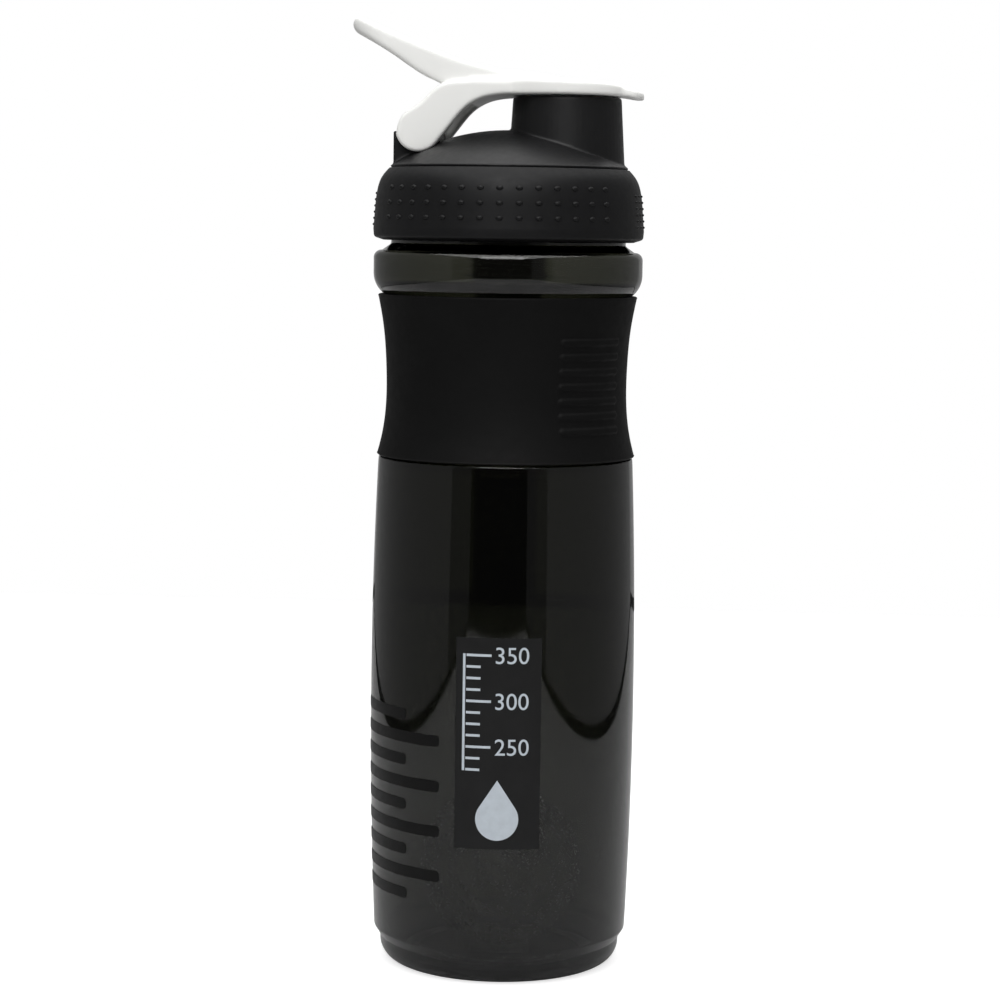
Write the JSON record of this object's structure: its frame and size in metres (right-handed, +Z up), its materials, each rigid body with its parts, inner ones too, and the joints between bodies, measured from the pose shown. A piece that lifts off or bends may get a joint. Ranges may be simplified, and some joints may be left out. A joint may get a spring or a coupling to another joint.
{
  "type": "protein shaker bottle",
  "caption": "Smoky translucent shaker bottle with a soft waist grip, screw lid with drinking spout, flip cap with carry loop, and a loose wire whisk ball inside.",
  "frame": {"origin": "middle of the resting face on the bottle's axis", "axes": "+Z up along the bottle's axis, +X towards the drinking spout, the flip cap's hinge runs along Y"},
  "size_m": [0.0837, 0.077, 0.2703],
  "materials": {
    "bottle_plastic": "clear smoky gloss",
    "grip_rubber": "fine matte grain",
    "label_ink": "satin print",
    "print_ink": "satin print",
    "side_ink": "satin print",
    "ball_steel": "drawn wire",
    "gasket_silicone": "smooth silicone",
    "lid_plastic": "fine satin",
    "lid_rubber": "matte with raised dots",
    "cap_plastic": "satin white",
    "seal_silicone": "smooth silicone",
    "pin_steel": "ground"
  },
  "bodies": {
    "bottle": {"bottle": "bottle_plastic", "grip_sleeve": "grip_rubber", "label_film": "label_ink", "scale_print": "print_ink", "side_print": "side_ink"},
    "whisk": {"whisk_ball": "ball_steel"},
    "gasket": {"lid_gasket": "gasket_silicone"},
    "lid": {"lid_shell": "lid_plastic", "lid_grip": "lid_rubber"},
    "cap": {"flip_cap": "cap_plastic", "spout_seal": "seal_silicone", "hinge_pin": "pin_steel"}
  },
  "joints": [
    {"name": "ball_travel", "type": "slide", "parent": "bottle", "child": "whisk", "axis": [0, 0, 1], "range_m": [0, 0.155]},
    {"name": "lid_rise", "type": "slide", "parent": "bottle", "child": "gasket", "axis": [0, 0, 1], "range_m": [0, 0.018]},
    {"name": "lid_turn", "type": "hinge", "parent": "gasket", "child": "lid", "pos_m": [0, 0, 0.215], "axis": [0, 0, 1], "range_deg": [0, 720]},
    {"name": "cap_flip", "type": "hinge", "parent": "lid", "child": "cap", "pos_m": [-0.0247, 0, 0.2388], "axis": [0, -1, 0], "range_deg": [0, 110]}
  ],
  "couplings": [
    {"joint": "lid_rise", "follows": "lid_turn", "m_per_rad": 0.0014324}
  ]
}
